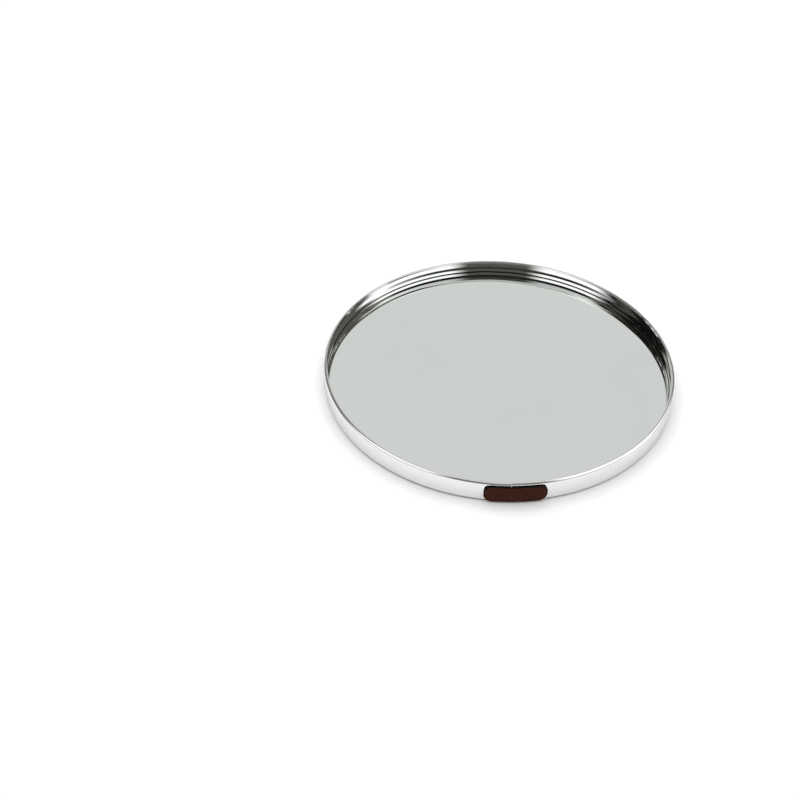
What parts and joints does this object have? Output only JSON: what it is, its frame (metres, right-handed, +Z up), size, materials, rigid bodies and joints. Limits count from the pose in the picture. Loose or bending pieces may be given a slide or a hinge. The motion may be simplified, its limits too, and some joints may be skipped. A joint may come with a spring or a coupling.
{
  "type": "candle plate",
  "caption": "Round candle plate: a polished metal rim with a rounded lip holds a mirror floor, a brown tag covers the rim's seam and felt feet stand it on a table.",
  "frame": {"origin": "centre of the rim on the plane that the felt feet stand on", "axes": "+Z up along the axis of the rim, -Y towards the tag at the front, +X to the right as seen from the front"},
  "size_m": [0.25, 0.2515, 0.0162],
  "materials": {
    "rim_metal": "polished",
    "strip_steel": "plain rolled",
    "mirror_glass": "silvered float glass",
    "board": "hard pressed fibre",
    "tag_leather": "dark brown, fine grain",
    "glue_film": "clear film",
    "felt": "pressed felt"
  },
  "bodies": {
    "root": {"rim": "rim_metal", "joint_strip": "strip_steel", "mirror_plate": "mirror_glass", "base_board": "board", "tag": "tag_leather", "tag_film": "glue_film", "felt_foot_1": "felt", "felt_foot_2": "felt", "felt_foot_3": "felt", "felt_foot_4": "felt"}
  },
  "joints": []
}
